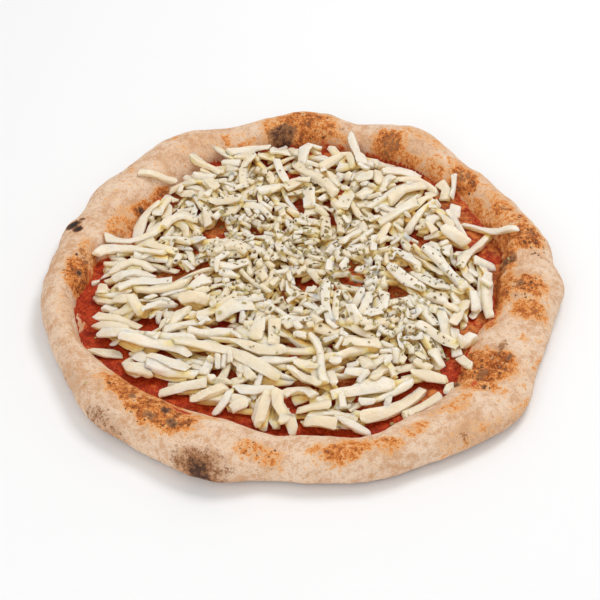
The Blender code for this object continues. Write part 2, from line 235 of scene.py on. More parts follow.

# Shreds laid one by one: width, how the ends are (c cut, p pointed), then the route.
LAID_SHREDS = (
    (6, "cc", (-110, -25), (-97, -28)),
    (7, "cc", (-118, -7), (-116, -19)),
    (7, "cc", (-88, 65), (-96, 57), (-100, 47), (-101, 37)),
    (5, "cc", (-119, 10), (-109, 8)),
    (7, "pc", (-96, 23), (-85, 18), (-74, 16)),
    (6, "cc", (-86, 30), (-67, 25)),
    (6, "pc", (-126, 14), (-118, 20), (-105, 19), (-92, 15), (-80, 12)),
    (6.5, "cc", (-121, 30), (-110, 28), (-100, 29), (-91, 34), (-86, 42), (-83, 49)),
    (6, "cc", (-85, 38), (-81, 46), (-73, 47), (-65, 42)),
    (8, "cc", (-108, -19), (-95, -12), (-76, -8)),
    (6, "pp", (-113, -6), (-104, -2), (-94, -2), (-86, -6)),
    (7, "pp", (-115, 0), (-107, 6), (-97, 7), (-87, 1)),
    (6, "pc", (-111, -36), (-97, -32)),
    (7, "cc", (-99, -28), (-92, -38)),
    (5.5, "pc", (-121, -34), (-112, -38), (-101, -41), (-92, -46)),
    (6, "pc", (-121, -41), (-110, -45), (-97, -51)),
    (6, "cc", (-116, -48), (-105, -52), (-93, -55)),
    (6, "cc", (-90, -51), (-75, -54), (-60, -56)),
    (8, "cc", (-99, -66), (-95, -75), (-88, -82)),
    (8, "cc", (-94, -65), (-82, -76)),
    (8, "cp", (-97, -76), (-83, -83)),
    (7, "cc", (-88, -76), (-72, -81), (-58, -84)),
    (8, "cc", (-86, -70), (-76, -75), (-63, -81)),
    (7, "cc", (-103, -56), (-88, -59), (-73, -62), (-62, -71)),
    (6, "cc", (-121, -62), (-101, -62)),
    (6, "cc", (-42, -74), (-47, -90)),
    (6, "cc", (-52, -70), (-55, -83)),
    (8, "cc", (-40, -107), (-30, -104)),
    (5, "cp", (-48, -110), (-42, -102), (-38, -94)),
    (6.5, "pc", (-62, -102), (-52, -98), (-42, -93)),
    (7.5, "cc", (-80, -93), (-66, -91), (-52, -90)),
    (7, "pc", (-39, -93), (-28, -95), (-15, -95)),
    (6, "cc", (-24, -120), (-22, -110), (-19, -99)),
    (7, "cp", (-54, -57), (-40, -59), (-24, -66), (-8, -67)),
    (7, "cc", (-75, -59), (-55, -64), (-36, -71), (-14, -86)),
    (6, "cc", (-5, -109), (14, -108)),
    (7, "cc", (-15, -98), (-14, -107), (-10, -115)),
    (7, "cc", (-13, -100), (-9, -95), (-1, -94), (5, -102)),
    (7, "pp", (-14, -119), (-8, -115), (-6, -125)),
    (7, "cc", (-1, -117), (17, -121)),
    (7, "pc", (-7, -75), (2, -77), (7, -83), (5, -93)),
    (6, "cc", (1, -53), (6, -60), (9, -72), (9, -83), (11, -95)),
    (5, "cc", (14, -83), (16, -95)),
    (6, "pp", (1, -91), (9, -96)),
    (4.5, "cp", (7, -105), (16, -98)),
    (6, "cc", (14, -75), (20, -76)),
    (6, "pp", (15, -116), (25, -118), (35, -122)),
    (9, "cp", (13, -100), (28, -95), (40, -91), (50, -90)),
    (7.5, "pc", (28, -114), (45, -107), (57, -98), (64, -90)),
    (6.5, "cc", (52, -110), (63, -102), (74, -95)),
    (4, "pp", (43, -105), (46, -96)),
    (5, "cp", (29, -101), (39, -101)),
    (6, "cc", (79, -85), (77, -95)),
    (6, "cc", (57, -82), (78, -84)),
    (6, "cc", (22, -82), (34, -85)),
    (8, "cc", (31, -69), (36, -81)),
    (7, "cp", (47, -76), (40, -84), (36, -90)),
    (8, "cc", (20, -62), (43, -62)),
    (6, "cc", (50, -65), (51, -74)),
    (6, "cc", (60, -72), (69, -79)),
    (7, "cc", (70, -64), (76, -77)),
    (6, "cc", (84, -46), (85, -65)),
    (5.5, "cp", (86, -66), (91, -79)),
    (7, "cc", (62, -46), (74, -53), (86, -60)),
    (6.5, "cc", (93, -23), (89, -34), (83, -46)),
    (6, "cc", (97, -16), (98, -31)),
    (7, "cc", (105, -12), (105, -37)),
    (7, "cc", (60, -22), (68, -35), (74, -46)),
    (5, "pc", (-62, 120), (-50, 115), (-42, 110)),
    (7, "cc", (-52, 108), (-40, 104)),
    (6, "cc", (-50, 101), (-41, 96)),
    (7, "cc", (-45, 112), (-32, 109)),
    (6, "cc", (-30, 112), (-18, 109)),
    (7, "cc", (-22, 113), (-9, 114)),
    (6, "cp", (-54, 93), (-66, 98)),
    (6, "cc", (-70, 92), (-56, 88)),
    (8, "cc", (-50, 115), (-38, 119), (-28, 120), (-21, 116)),
    (7, "pc", (-74, 108), (-61, 100), (-51, 92)),
    (7, "cc", (-85, 80), (-68, 85)),
    (7, "cc", (-60, 83), (-54, 73)),
    (6.5, "cc", (-66, 68), (-52, 61), (-38, 60)),
    (6, "cp", (-31, 100), (-22, 92), (-20, 80)),
    (7, "cc", (-31, 110), (-38, 98), (-38, 86), (-36, 75)),
    (6, "cc", (-29, 70), (-10, 80)),
    (6, "cc", (-18, 108), (-15, 96), (-10, 80)),
    (6.5, "cc", (9, 115), (6, 120), (0, 113), (-1, 99)),
    (6, "cc", (20, 96), (32, 89)),
    (6.5, "cc", (9, 95), (19, 106), (27, 113), (30, 105), (31, 97)),
    (7, "cc", (15, 95), (21, 82)),
    (6.5, "cc", (-12, 73), (-1, 86)),
    (8, "cc", (3, 78), (3, 58)),
    (7, "cc", (-6, 103), (1, 92), (11, 83), (20, 68)),
    (7.5, "pc", (30, 131), (33, 118), (36, 108), (37, 97)),
    (7, "cc", (33, 86), (43, 86)),
    (6.5, "cc", (33, 68), (45, 79)),
    (5.5, "cp", (46, 93), (46, 76)),
    (8, "cc", (29, 72), (22, 52)),
    (4, "pp", (45, 106), (57, 107)),
    (6, "cc", (44, 101), (60, 103)),
    (5, "cc", (65, 99), (71, 99)),
    (7, "cc", (48, 93), (60, 97), (74, 92)),
    (6, "cc", (58, 84), (72, 88), (84, 79)),
    (7, "cc", (52, 62), (62, 75), (76, 82)),
    (6.5, "cc", (62, 38), (71, 53), (80, 66)),
    (7, "cc", (55, 48), (68, 60), (80, 72)),
    (7, "cc", (44, 41), (58, 51), (70, 62)),
    (7, "cc", (94, 69), (92, 52)),
    (7, "cc", (82, 58), (88, 44), (87, 30)),
    (5.5, "cp", (87, 54), (95, 42), (99, 33)),
    (7, "cc", (82, 34), (90, 29), (98, 25)),
    (6.5, "cc", (88, 16), (97, 16)),
    (6, "cp", (100, 11), (113, 6)),
    (5.5, "cc", (96, 1), (102, -2)),
    (7, "cc", (108, -1), (104, -16)),
    (6, "cc", (74, 28), (80, 12)),
    (6, "cc", (85, 24), (83, 11)),
    (6, "cc", (62, 0), (76, -12), (92, -21)),
    (7.5, "cc", (70, 20), (79, 8), (87, -4), (93, -14)),
    (7, "cc", (50, 2), (58, -10), (68, -20)),
    (7.5, "cc", (112, 40), (103, 26), (95, 13), (90, 1)),
    (8, "cc", (-56, 5), (-44, 3), (-33, 8)),
    (8.5, "pc", (-54, 14), (-43, 20), (-33, 13)),
    (6, "cc", (-66, -50), (-40, -52)),
    (8, "cc", (-72, -26), (-54, -27)),
    (9, "pc", (-67, -17), (-56, -8)),
    (7, "cc", (-62, -40), (-48, -31), (-38, -26)),
    (9, "pc", (-50, -42), (-42, -34), (-28, -31)),
    (8.5, "cc", (-24, -42), (-28, -58)),
    (8, "cc", (-17, -43), (-17, -64)),
    (5.5, "cc", (18, -20), (17, -47)),
    (6.5, "cc", (13, -12), (12, -30), (14, -48)),
    (7, "cc", (4, -48), (20, -57)),
    (7, "cc", (25, -31), (31, -46)),
    (8, "cc", (31, -46), (48, -46)),
    (6, "cc", (33, -38), (41, -36), (46, -28), (45, -18)),
    (9, "cc", (13, 52), (12, 24)),
)
LAID_WIDTH = 0.9              # of the width given
# Shreds off the heap: the solid that each stands for, width, thickness, ends, route.
STRAY_SHREDS = (
    ("stray_shred_upper_left", 4.8, 3.4, "cc", (-104, 86), (-92, 86.5), (-80, 88.5)),
    ("stray_shred_back_hook", 6.4, 3.8, "cc", (83, 88), (88, 86), (89.5, 79.5), (87, 72.5)),
    ("stray_shred_back_thin", 3.4, 2.6, "cc", (91.5, 73), (93.5, 81), (94.5, 89)),
    ("stray_shred_right", 4.8, 3.4, "cp", (95, 49), (103, 46.1), (110.5, 40.6), (118, 33), (128.5, 26.6)),
    ("stray_shred_lower_right", 6.8, 5.0, "cc", (86, -58.4), (91, -53.9), (96, -49.9)),
)
# Small broken bits: x, y, half width, half depth and how many.
BIT_PLACES = (
    (0, 10, 55, 45, 130), (-35, 60, 30, 25, 30), (45, -45, 35, 25, 40), (-45, 20, 35, 30, 30),
    (60, 30, 30, 35, 35), (0, -70, 60, 25, 30), (20, 85, 45, 18, 25), (-70, -45, 30, 30, 20),
)
BIT_TRIES = 5
BIT_WIDTH = (2.4, 4.4)
BIT_HALF_LENGTH = (1.8, 5.0)
BIT_MARGIN = 8.0              # from the bits to the heap's edge
LONE_BIT = ((-125, -3), (-120, -1))

# Oregano.
OREGANO_COLORS = ((116, 92, 52), (156, 136, 82))
OREGANO_LAYERS = ((0.6, 1.0, (190, 176, 118)),)
# Where it falls: x, y, half width, half depth and how many flakes.
OREGANO_PLACES = (
    (-35, 92, 13, 10, 40), (-55, 57, 22, 12, 60), (-28, 45, 22, 14, 75), (-68, 15, 20, 12, 50),
    (-30, 10, 24, 18, 85), (0, 22, 24, 22, 110), (22, -8, 24, 20, 110), (46, 10, 20, 18, 85),
    (62, -20, 20, 18, 85), (45, -45, 20, 14, 70), (66, -62, 16, 13, 55), (0, -36, 24, 14, 45),
    (-42, -18, 24, 12, 45), (25, 50, 20, 15, 35), (0, 75, 18, 12, 26), (82, 0, 14, 14, 26),
    (-10, -64, 20, 10, 18), (0, 0, 62, 56, 90), (50, -112, 14, 3, 8), (-112, -45, 5, 25, 5),
)
FLAKE_SIZE = (1.1, 3.2, 2.0)  # smallest, largest, most common
FLAKE_THICKNESS = 0.16        # of the flake's width
FLAKE_LEAN = 0.35             # radians, about


def select_only(*pieces):
    bpy.ops.object.select_all(action="DESELECT")
    for piece in pieces:
        piece.select_set(True)
    bpy.context.view_layer.objects.active = pieces[0]


def points_of(piece):
    """The piece's vertices in millimetres, one row each."""
    flat = np.empty(3 * len(piece.data.vertices))
    piece.data.vertices.foreach_get("co", flat)
    return flat.reshape(-1, 3) / MM


def put_points(piece, points):
    piece.data.vertices.foreach_set("co", (points * MM).ravel())
    piece.data.update()


def normals_of(piece):
    flat = np.empty(3 * len(piece.data.vertices))
    piece.data.vertex_normals.foreach_get("vector", flat)
    return flat.reshape(-1, 3)


def write_attribute(piece, name, values):
    made = piece.data.attributes.new(name, "FLOAT", "POINT")
    made.data.foreach_set("value", np.asarray(values, dtype=np.float32))


def surface_of(piece):
    """The piece's faces, ready for rays."""
    return BVHTree.FromObject(piece, bpy.context.evaluated_depsgraph_get())


def set_material(piece, material):
    piece.data.materials.clear()
    piece.data.materials.append(material)


def lumps(points, size, seed):
    """Smooth noise from -1 to 1 at each point, with lumps about this wide."""
    offset = Vector((seed * 17.3, seed * 5.1, seed * 9.7))
    scale = 1.0 / size
    return np.array([noise.noise(Vector(point) * scale + offset) for point in points.tolist()])


def mixed_lumps(points, *mix):
    """Lumps of several sizes added up, each given as its size, its seed and its strength."""
    return sum(strength * lumps(points, size, seed) for size, seed, strength in mix)


def step_up(value, low, high):
    """0 below low, 1 above high, smooth between."""
    share = np.clip((value - low) / (high - low), 0.0, 1.0)
    return share * share * (3.0 - 2.0 * share)


def polar(points):
    """The angle and the distance from the middle of each point."""
    x = points[:, 0]
    y = points[:, 1]
    return np.degrees(np.arctan2(y, x)) % 360.0, np.hypot(x, y)


def turn_from(middle, angle):
    """How many degrees the angle lies from the middle, from -180 to 180."""
    return (angle - middle + 180.0) % 360.0 - 180.0


def swell(middle, half_width, angle):
    """1 at the middle, falling away smoothly to both sides."""
    return np.exp(-0.5 * (turn_from(middle, angle) / half_width) ** 2)


def patches(table, angle, radius, ragged=0.0):
    """How strongly each point lies in the table's places, whose outlines waver with ragged."""
    total = np.zeros(len(angle))
    for middle, at, half_angle, half_width, strength in table:
        turn = turn_from(middle, angle)
        reach = np.hypot(turn / half_angle, (radius - at) / half_width) + ragged
        total = np.maximum(total, strength * step_up(1.45 - reach, 0.0, PATCH_FADE))
    return total


def sauce_climb(angle):
    """The height at which the sauce ends on the rim's foot."""
    height = np.full(len(angle), SAUCE_CLIMB)
    for middle, dip, half_width in SAUCE_DIPS:
        height -= dip * swell(middle, half_width, angle)
    return height


# Shader helpers.

def new_material(name):
    material = bpy.data.materials.new(name)
    material.use_nodes = True
    return material, material.node_tree, material.node_tree.nodes["Principled BSDF"]


def add_node(tree, kind, inputs, **settings):
    """A shader node whose inputs are set to numbers or linked to other nodes' outputs."""
    made = tree.nodes.new("ShaderNode" + kind)
    for name, value in settings.items():
        setattr(made, name, value)
    for name, value in inputs.items():
        if isinstance(value, bpy.types.NodeSocket):
            tree.links.new(value, made.inputs[name])
        else:
            made.inputs[name].default_value = value
    return made


def object_place(tree):
    return add_node(tree, "TexCoord", {}).outputs["Object"]


def grain(tree, place, scale, detail=2.0):
    """Noise from 0 to 1 with about this many lumps a metre."""
    inputs = {"Vector": place, "Scale": scale, "Detail": detail}
    return add_node(tree, "TexNoise", inputs).outputs[0]


def attribute(tree, name):
    return add_node(tree, "Attribute", {}, attribute_name=name).outputs["Fac"]


def calculate(tree, operation, first, second):
    return add_node(tree, "Math", {0: first, 1: second}, operation=operation).outputs[0]


def wavered(tree, value, *waves):
    """The value with each (noise, amount) added around it."""
    for wave, amount in waves:
        centred = calculate(tree, "SUBTRACT", wave, 0.5)
        value = calculate(tree, "ADD", value, calculate(tree, "MULTIPLY", centred, amount))
    return value


def between(tree, value, low, high):
    """0 below low, 1 above high, smooth between."""
    inputs = {"Value": value, "From Min": low, "From Max": high}
    return add_node(tree, "MapRange", inputs, interpolation_type="SMOOTHSTEP").outputs["Result"]


def tinted(tree, factor, first, second):
    inputs = {0: factor, 6: first, 7: second}
    return add_node(tree, "Mix", inputs, data_type="RGBA").outputs[2]


def srgb(red, green, blue):
    """A colour from 0 to 255, made linear."""
    return tuple(((value / 255 + 0.055) / 1.055) ** 2.4 for value in (red, green, blue)) + (1.0,)


def blended(tree, value, low, high, colors):
    """From the first colour to the second as the value goes from low to high."""
    return tinted(tree, between(tree, value, low, high), srgb(*colors[0]), srgb(*colors[1]))


def layered(tree, color, value, layers):
    """Lay each layer's colour over what is there, as the value goes from its low to its high."""
    for low, high, layer in layers:
        color = tinted(tree, between(tree, value, low, high), color, srgb(*layer))
    return color


def finish_shader(tree, shader, color, roughness, waves, specular=None):
    """Colour, gloss and unevenness: each wave is a height, its depth in metres and its strength."""
    tree.links.new(color, shader.inputs["Base Color"])
    shader.inputs["Roughness"].default_value = roughness
    if specular is not None:
        shader.inputs["Specular IOR Level"].default_value = specular
    rough = None
    for height, distance, strength in waves:
        inputs = {"Height": height, "Distance": distance, "Strength": strength}
        if rough is not None:
            inputs["Normal"] = rough
        rough = add_node(tree, "Bump", inputs).outputs[0]
    tree.links.new(rough, shader.inputs["Normal"])


# Crust.

def speckled(tree, place, color):
    """The colour with small dark specks, as many as the crust's attribute asks for."""
    warp = add_node(tree, "TexNoise", {"Vector": place, "Scale": 500.0})
    warp = add_node(tree, "VectorMath", {0: warp.outputs["Color"], "Scale": SPECK_WARP}, operation="SCALE")
    warped = add_node(tree, "VectorMath", {0: place, 1: warp.outputs[0]}, operation="ADD").outputs[0]
    for scale, largest, share in SPECKS:
        cells = add_node(tree, "TexVoronoi", {"Vector": warped, "Scale": scale, "Randomness": 1.0})
        drawn = add_node(tree, "SeparateColor", {0: cells.outputs["Color"]}).outputs
        size = calculate(tree, "MULTIPLY", drawn[1], largest)
        near = calculate(tree, "SUBTRACT", size, cells.outputs["Distance"])
        wanted = calculate(tree, "MULTIPLY", attribute(tree, "specks"), share)
        chosen = between(tree, calculate(tree, "SUBTRACT", wanted, drawn[0]), 0.0, 0.4)
        speck = calculate(tree, "MULTIPLY", between(tree, near, -0.06, 0.14), chosen)
        color = tinted(tree, speck, color, srgb(*SPECK_COLOR))
    return color


def dough_material():
    material, tree, shader = new_material("baked_dough")
    place = object_place(tree)
    dust = grain(tree, place, 1150.0)
    crumb = grain(tree, place, 430.0, 3.0)
    mottle = grain(tree, place, 170.0, 4.0)
    cloud = grain(tree, place, 45.0, 3.0)
    flour = wavered(tree, 0.5, (cloud, 1.1), (mottle, 1.5), (crumb, 1.2), (dust, 1.2))
    color = blended(tree, flour, 0.05, 0.95, DOUGH_COLORS)
    toast = wavered(tree, attribute(tree, "toast"), (mottle, 1.5), (crumb, 1.7), (dust, 1.5), (cloud, 0.5))
    color = layered(tree, color, toast, TOAST_LAYERS)
    dusting = wavered(tree, 0.5, (mottle, 1.4), (crumb, 1.8), (dust, 1.6))
    color = layered(tree, color, dusting, DUSTING_LAYERS)
    char = wavered(tree, attribute(tree, "char"), (mottle, 0.6), (crumb, 0.9), (dust, 0.7))
    color = layered(tree, color, char, CHAR_LAYERS)
    color = speckled(tree, place, color)
    # Painted shade, grey-brown, low on the outer wall and at the underside's edge.
    low = wavered(tree, attribute(tree, "low"), (mottle, 1.0), (crumb, 0.8))
    color = layered(tree, color, low, LOW_WALL_SHADE_LAYERS)
    stain = wavered(tree, attribute(tree, "stain"), (mottle, 1.2), (crumb, 0.9), (dust, 0.5))
    color = layered(tree, color, stain, STAIN_LAYERS)
    pulp = blended(tree, wavered(tree, crumb, (dust, 1.1)), 0.25, 0.7, STAIN_COLORS)
    color = tinted(tree, between(tree, stain, 0.6, 0.85), color, pulp)
    waves = ((mottle, 0.0012, 0.6), (crumb, 0.0006, 0.7), (dust, 0.0003, 0.7))
    finish_shader(tree, shader, color, 0.82, waves, specular=0.3)
    return material


def smooth_crust():
    """A copy of the crust's solid, merged and made finer."""
    crust = bpy.data.objects.new("baked_crust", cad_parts["crust"].data.copy())
    bpy.context.scene.collection.objects.link(crust)
    select_only(crust)
    bpy.ops.object.mode_set(mode="EDIT")
    bpy.ops.mesh.select_all(action="SELECT")
    bpy.ops.mesh.remove_doubles(threshold=0.00001)
    bpy.ops.mesh.tris_convert_to_quads(face_threshold=math.pi, shape_threshold=math.pi)
    bpy.ops.object.mode_set(mode="OBJECT")
    finer = crust.modifiers.new("finer", "SUBSURF")
    finer.levels = CRUST_LEVELS
    finer.render_levels = CRUST_LEVELS
    bpy.ops.object.modifier_apply(modifier=finer.name)
    bpy.ops.object.shade_smooth()
    return crust


def crust_browning(points, normals):
    """How toasted, charred, specked and stained the crust is at each point, and how low it lies on the
    outer wall, for painted shade.
    """
    angle, radius = polar(points)
    height = points[:, 2]
    ragged = mixed_lumps(points, (9.0, 1, 0.3), (4.0, 2, 0.25))
    upper = step_up(height, 3.0, 7.0)
    under = step_up(-normals[:, 2], 0.6, 0.95)
    toast = patches(TOASTED, angle, radius, ragged) * upper
    toast -= 0.8 * patches(FLOURY, angle, radius, ragged)
    toast = np.maximum(toast, under * (0.5 + 0.5 * lumps(points, 30.0, 3)))
    char = patches(CHARRED, angle, radius, 0.8 * ragged) * step_up(height, 1.5, 4.0)
    specks = patches(SPECKLED, angle, radius, ragged) * upper
    stain = patches(SMEARED, angle, radius, ragged)
    sauce_end = sauce_climb(angle) + SAUCE_WAVER * lumps(points, *SAUCE_WAVES)
    damp = step_up(sauce_end - height, -SAUCE_WAVER, SAUCE_WAVER)
    stain = np.maximum(stain, 1.1 * damp * step_up(-radius, -140.0, -126.0))
    stain *= step_up(normals[:, 2], *FACING_UP)
    # Painted shade: grey-brown low on the outer wall and at the underside's edge.
    low = step_up(-height, -7.0, -0.5) * step_up(radius, 136.0, 144.0)
    return {"toast": toast, "char": char, "specks": specks, "stain": stain, "low": low}


def crust_relief(points, toast, char):
    """How far the crust's unevenness raises each point along its normal."""
    angle, radius = polar(points)
    rim = step_up(radius, 100.0, 122.0) * step_up(points[:, 2], 0.3, 5.0)
    raised = mixed_lumps(points, (24.0, 5, 0.9), (11.0, 6, 0.65), (5.5, 7, 0.34))
    raised += toast * (0.5 * np.abs(lumps(points, 6.0, 8)) - 0.15)
    ridge = points[:, 1] + 0.35 * points[:, 0] + 4.0 * lumps(points, 14.0, 9)
    wrinkles = 1.7 * np.sin(2.0 * math.pi * ridge / WRINKLE_WIDTH) + 1.8 * lumps(points, 6.0, 10)
    raised += patches(WRINKLED, angle, radius) * wrinkles
    fold = angle + 2.0 * lumps(points, 12.0, 11)
    raised += patches(FOLDED, angle, radius) * np.sin(2.0 * math.pi * fold / FOLD_WIDTH)
    raised += patches(BLISTERED, angle, radius)
    raised -= CHAR_DEPTH * char
    return raised * rim


def make_crust():
    crust = smooth_crust()
    points = points_of(crust)
    normals = normals_of(crust)
    browning = crust_browning(points, normals)
    points += normals * crust_relief(points, browning["toast"], browning["char"])[:, None]
    points[:, 2] = np.maximum(points[:, 2], 0.0)
    put_points(crust, points)
    for name, values in browning.items():
        write_attribute(crust, name, values)
    set_material(crust, dough_material())
    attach(crust, "root")
    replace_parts(crust, "crust")
    return crust


# Sauce.

def sauce_material():
    material, tree, shader = new_material("tomato_sauce")
    place = object_place(tree)
    fine = grain(tree, place, 800.0, 3.0)
    pulp = grain(tree, place, 260.0, 3.0)
    cloud = grain(tree, place, 60.0)
    mix = wavered(tree, pulp, (fine, 1.1), (cloud, 0.7))
    color = blended(tree, mix, 0.2, 0.62, SAUCE_COLORS)
    color = layered(tree, color, mix, SAUCE_LAYERS)
    # Bare dough in orange-brown, and under the heap partly painted bounce light.
    bare_and_bounce = wavered(tree, attribute(tree, "bare_and_bounce"), (pulp, 1.1), (fine, 0.4), (cloud, 0.4))
    baked = blended(tree, wavered(tree, cloud, (pulp, 1.2), (fine, 0.8)), 0.25, 0.7, BARE_AND_BOUNCE_COLORS)
    color = tinted(tree, between(tree, bare_and_bounce, 0.35, 0.9), color, baked)
    finish_shader(tree, shader, color, 0.6, ((pulp, 0.0008, 0.6), (fine, 0.0003, 0.5)), specular=0.15)
    return material


def sauce_outline():
    """How far the sauce reaches at each angle: past its solid's edge, up the rim's foot."""
    angle, radius = polar(points_of(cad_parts["tomato_sauce"]))
    rim = radius > SAUCE_MIDDLE
    order = np.argsort(angle[rim])
    edge_angle = angle[rim][order]
    edge_radius = radius[rim][order] + SAUCE_SPREAD
    return lambda turn: np.interp(turn, edge_angle, edge_radius, period=360.0)


def pick(piece, kind, wanted):
    """Select, in edit mode, only the verts, edges or faces for which wanted is true."""
    bpy.ops.mesh.select_mode(type=kind)
    bpy.ops.mesh.select_all(action="DESELECT")
    shape = bmesh.from_edit_mesh(piece.data)
    for item in {"VERT": shape.verts, "EDGE": shape.edges, "FACE": shape.faces}[kind]:
        if wanted(item):
            item.select_set(True)
    shape.select_flush_mode()
    bmesh.update_edit_mesh(piece.data)


def flat_sauce():
    """A level grid trimmed to the sauce's outline, with its border selected and pulled onto it."""
    outline = sauce_outline()
    bpy.ops.object.select_all(action="DESELECT")
    bpy.ops.mesh.primitive_grid_add(x_subdivisions=SAUCE_GRID, y_subdivisions=SAUCE_GRID,
                                    size=2.0 * REACH * MM, location=(0.0, 0.0, SAUCE_TOP * MM))
    sauce = bpy.context.object
    sauce.name = "spread_sauce"
    bpy.ops.object.transform_apply(location=True)
    angle, radius = polar(points_of(sauce))
    outside = radius > outline(angle)
    bpy.ops.object.mode_set(mode="EDIT")
    pick(sauce, "VERT", lambda corner: outside[corner.index])
    bpy.ops.mesh.delete(type="VERT")
    bpy.ops.mesh.select_all(action="SELECT")
    bpy.ops.mesh.region_to_loop()
    bpy.ops.object.mode_set(mode="OBJECT")
    points = points_of(sauce)
    border = np.zeros(len(points), dtype=bool)
    for edge in sauce.data.edges:
        if edge.select:
            border[list(edge.vertices)] = True
    angle, radius = polar(points)
    points[border, :2] *= (outline(angle)[border] / radius[border])[:, None]
    return sauce, points


def sauce_bareness_and_bounce(points):
    """How thin the sauce is at each point, from 0 to about 1 where the dough shows through; under the heap
    it also paints bounce light.
    """
    angle, radius = polar(points)
    ragged = mixed_lumps(points, (9.0, 21, 0.3))
    bare_and_bounce = np.zeros(len(points))
    for x, y, half_width, half_depth in BARE_DOUGH:
        reach = np.hypot((points[:, 0] - x) / half_width, (points[:, 1] - y) / half_depth) + ragged
        bare_and_bounce = np.maximum(bare_and_bounce, step_up(1.5 - reach, 0.0, PATCH_FADE))
    # Under the heap the sauce is made orange all over: partly oily, thin sauce, partly painted light
    # bounced from the cheese.
    middle = step_up(-radius, -104.0, -84.0)
    bare_and_bounce = np.maximum(bare_and_bounce, middle * (0.55 + 0.6 * lumps(points, 18.0, 25)))
    outer = step_up(radius, 98.0, 108.0)
    for turn, half_width, strength in SCRAPED_SIDES:
        beside = step_up(1.4 - np.abs(turn_from(turn, angle)) / half_width, 0.0, 0.8)
        bare_and_bounce = np.maximum(bare_and_bounce, beside * outer * strength * (0.6 + 0.5 * lumps(points, 11.0, 28)))
    return bare_and_bounce


def drape_sauce(points, crust):
    """Lay the sauce's outer part on the rim's foot, where it thins out and ends in the dough."""
    angle, radius = polar(points)
    dough = surface_of(crust)
    sauce_end = sauce_climb(angle) - SAUCE_WAVER + SAUCE_WAVER * lumps(points, *SAUCE_WAVES)
    ends_at = np.minimum(SAUCE_TOP + SAUCE_WAVER, sauce_end)
    for index in np.flatnonzero(radius > FOOT_FROM).tolist():
        x, y, z = points[index].tolist()
        hit = dough.ray_cast(Vector((x, y, ABOVE_ALL)) * MM, DOWN)[0]
        if hit is None:
            continue
        height = hit.z / MM
        film = min(SAUCE_FILM, max(-2.0 * SAUCE_FILM, 0.35 * (ends_at[index] - height)))
        covered = height < max(ends_at[index], SAUCE_TOP - 0.8)
        points[index, 2] = max(z, height + film) if covered else height + film


def close_underside():
    """Draw the selected border down to the sauce's flat underside and fill it, in edit mode."""
    bpy.ops.mesh.extrude_edges_move(TRANSFORM_OT_translate={"value": (0.0, 0.0, -0.1 * MM)})
    bpy.ops.transform.resize(value=(1.0, 1.0, 0.0), center_override=(0.0, 0.0, SAUCE_FLOOR * MM))
    bpy.ops.mesh.edge_face_add()
    bpy.ops.mesh.select_all(action="SELECT")
    bpy.ops.mesh.normals_make_consistent(inside=False)


def make_sauce(crust):
    sauce, points = flat_sauce()
    bare_and_bounce = sauce_bareness_and_bounce(points)
    raised = mixed_lumps(points, (16.0, 22, 0.45), (6.0, 23, 0.4), (3.0, 24, 0.28))
    points[:, 2] = SAUCE_TOP - 0.2 + raised + 0.7 * bare_and_bounce
    drape_sauce(points, crust)
    put_points(sauce, points)
    write_attribute(sauce, "bare_and_bounce", bare_and_bounce)
    bpy.ops.object.mode_set(mode="EDIT")
    close_underside()
    bpy.ops.object.mode_set(mode="OBJECT")
    bpy.ops.object.shade_smooth()
    set_material(sauce, sauce_material())
    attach(sauce, "root")
    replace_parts(sauce, "tomato_sauce")
    return sauce


# Cheese.

def cheese_material():
    material, tree, shader = new_material("mozzarella")
    place = object_place(tree)
    fine = grain(tree, place, 900.0, 3.0)
    crumb = grain(tree, place, 380.0, 3.0)
    cloud = grain(tree, place, 120.0)
    torn = grain(tree, place, 260.0, 4.0)
    tint = wavered(tree, attribute(tree, "tint"), (cloud, 1.6), (crumb, 0.8), (fine, 0.4))
    color = blended(tree, tint, 0.0, 1.0, CHEESE_COLORS)
    # Painted shade, yellower deeper in the pile.
    depth_shade = wavered(tree, attribute(tree, "depth_shade"), (cloud, 0.5), (crumb, 0.4))
    color = layered(tree, color, depth_shade, DEPTH_SHADE_LAYERS)
    shader.inputs["Subsurface Weight"].default_value = 0.85
    shader.inputs["Subsurface Radius"].default_value = (1.0, 0.92, 0.75)
    shader.inputs["Subsurface Scale"].default_value = 0.0042
    waves = ((torn, 0.0013, 0.7), (crumb, 0.0007, 0.6), (fine, 0.0002, 0.5))
    finish_shader(tree, shader, color, 0.42, waves)
    return material


class HeightMap:
    """The highest point so far in each cell of a square grid, in millimetres."""

    def __init__(self, pieces):
        self.count = int(2.0 * REACH / MAP_CELL) + 1
        self.cells = np.full((self.count, self.count), 0.0)
        surfaces = [surface_of(piece) for piece in pieces]
        for row in range(self.count):
            for column in range(self.count):
                x = (column * MAP_CELL - REACH) * MM
                y = (row * MAP_CELL - REACH) * MM
                if x * x + y * y > (REACH * MM) ** 2:
                    continue
                start = Vector((x, y, ABOVE_ALL * MM))
                hits = [surface.ray_cast(start, DOWN)[0] for surface in surfaces]
                found = [hit.z / MM for hit in hits if hit is not None]
                if found:
                    self.cells[row, column] = max(found)

    def cell_of(self, x, y):
        column = np.clip(np.rint((x + REACH) / MAP_CELL).astype(int), 0, self.count - 1)
        row = np.clip(np.rint((y + REACH) / MAP_CELL).astype(int), 0, self.count - 1)
        return row, column

    def height(self, x, y):
        return self.cells[self.cell_of(x, y)]

    def pile(self, x, y, top):
        row, column = self.cell_of(x, y)
        np.maximum.at(self.cells, (row.ravel(), column.ravel()), top.ravel())


